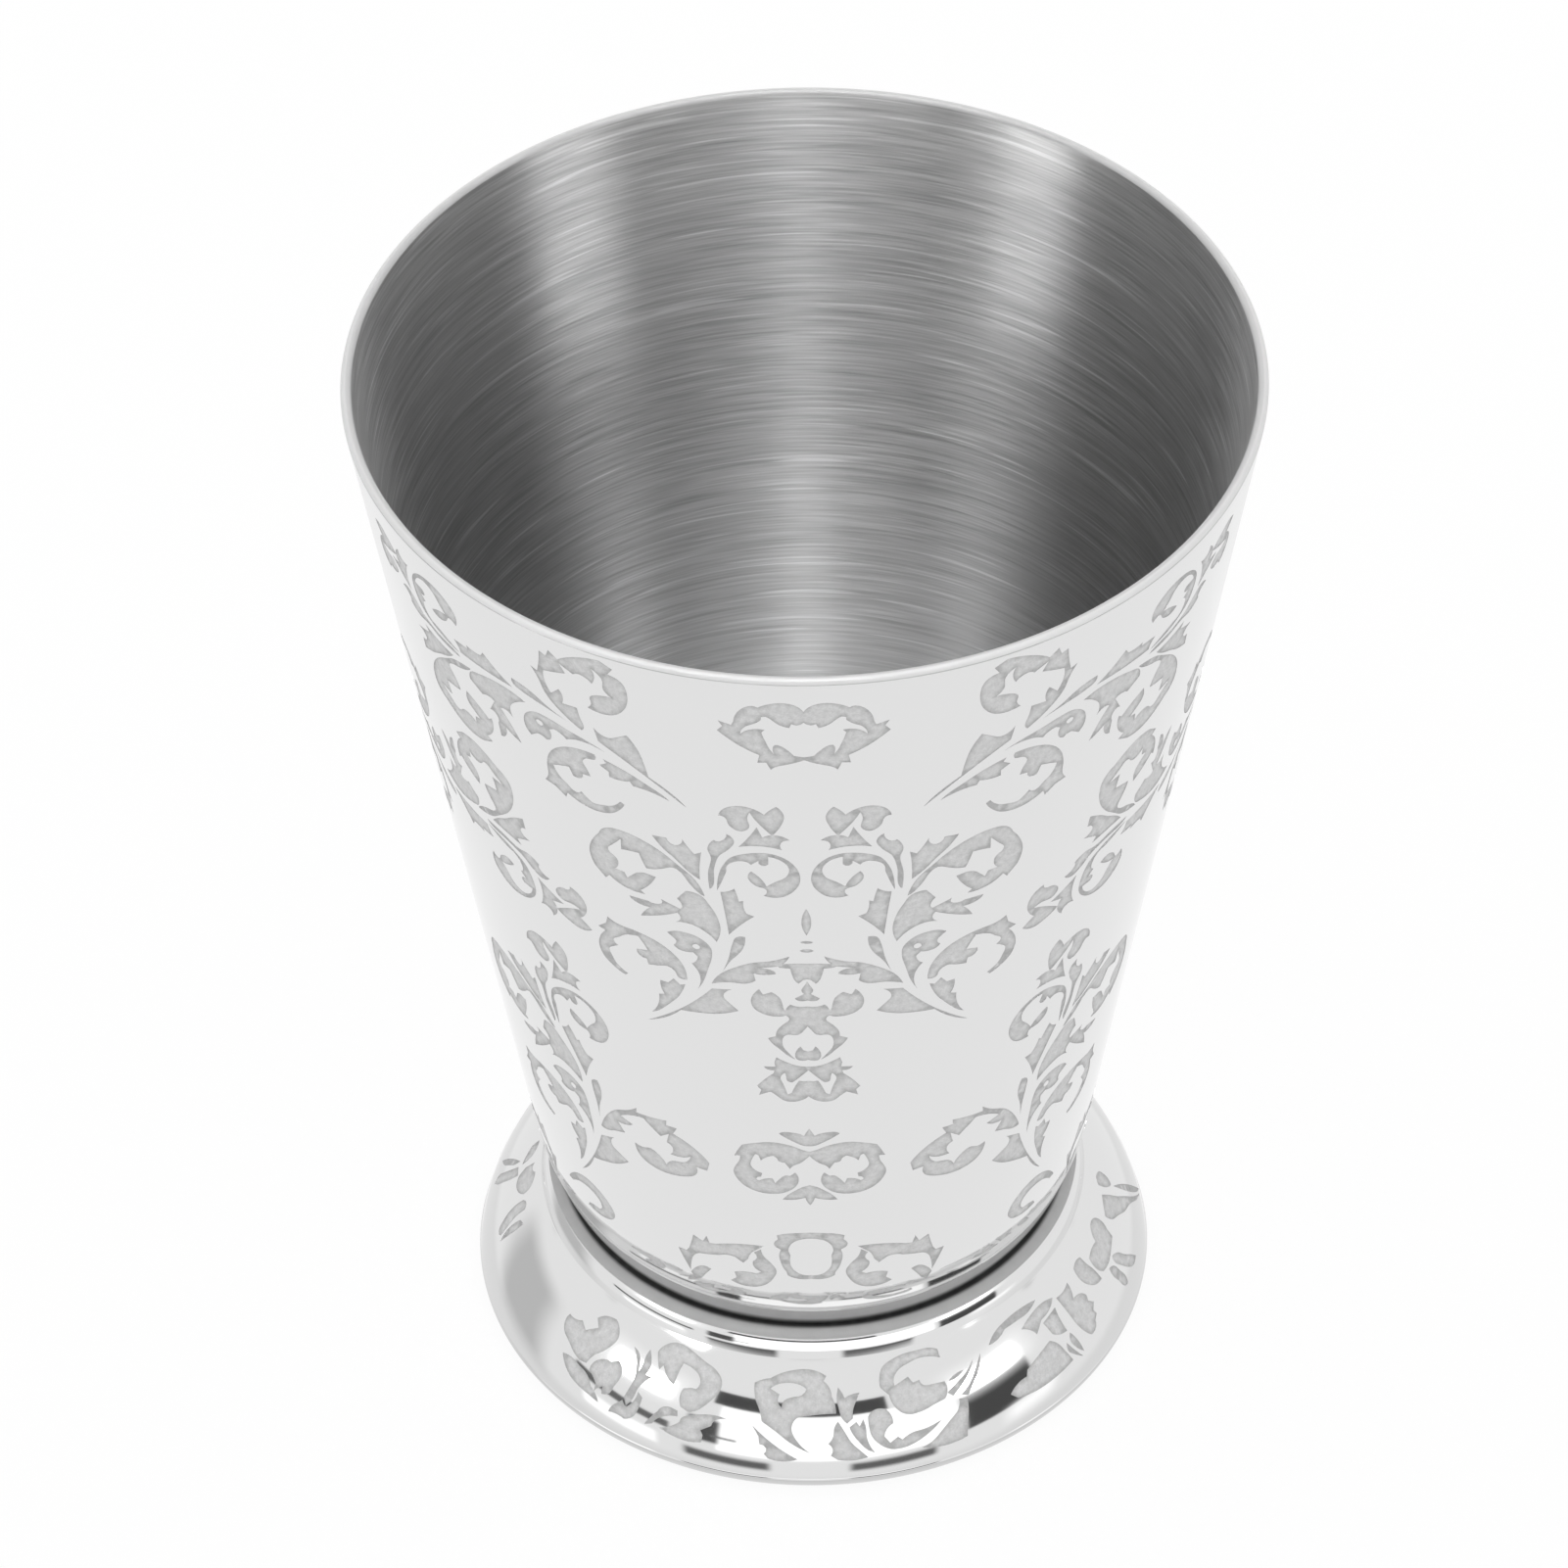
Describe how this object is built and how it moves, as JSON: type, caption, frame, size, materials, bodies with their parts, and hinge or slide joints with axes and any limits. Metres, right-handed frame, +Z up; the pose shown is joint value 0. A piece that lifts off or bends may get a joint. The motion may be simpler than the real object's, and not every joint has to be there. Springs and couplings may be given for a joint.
{
  "type": "footed metal tumbler",
  "caption": "Tapered handle-less steel drinking cup on a hollow turned foot, polished outside with etched acanthus scrolls and brushed inside.",
  "frame": {"origin": "centre of the foot's underside, on the surface that the cup stands on", "axes": "+Z up along the cup's axis; +X to the right and +Y away from the viewer as the picture sees it"},
  "size_m": [0.0858, 0.0858, 0.1165],
  "materials": {
    "cup_steel": "mirror polished outside with fine matt etched scrolls, brushed round the inside",
    "foot_steel": "mirror polished with matt etched scrolls on the skirt, plain inside",
    "braze_metal": "dull silver braze, as it flowed"
  },
  "bodies": {
    "root": {"cup_body": "cup_steel", "foot": "foot_steel", "braze_ring": "braze_metal"}
  },
  "joints": []
}
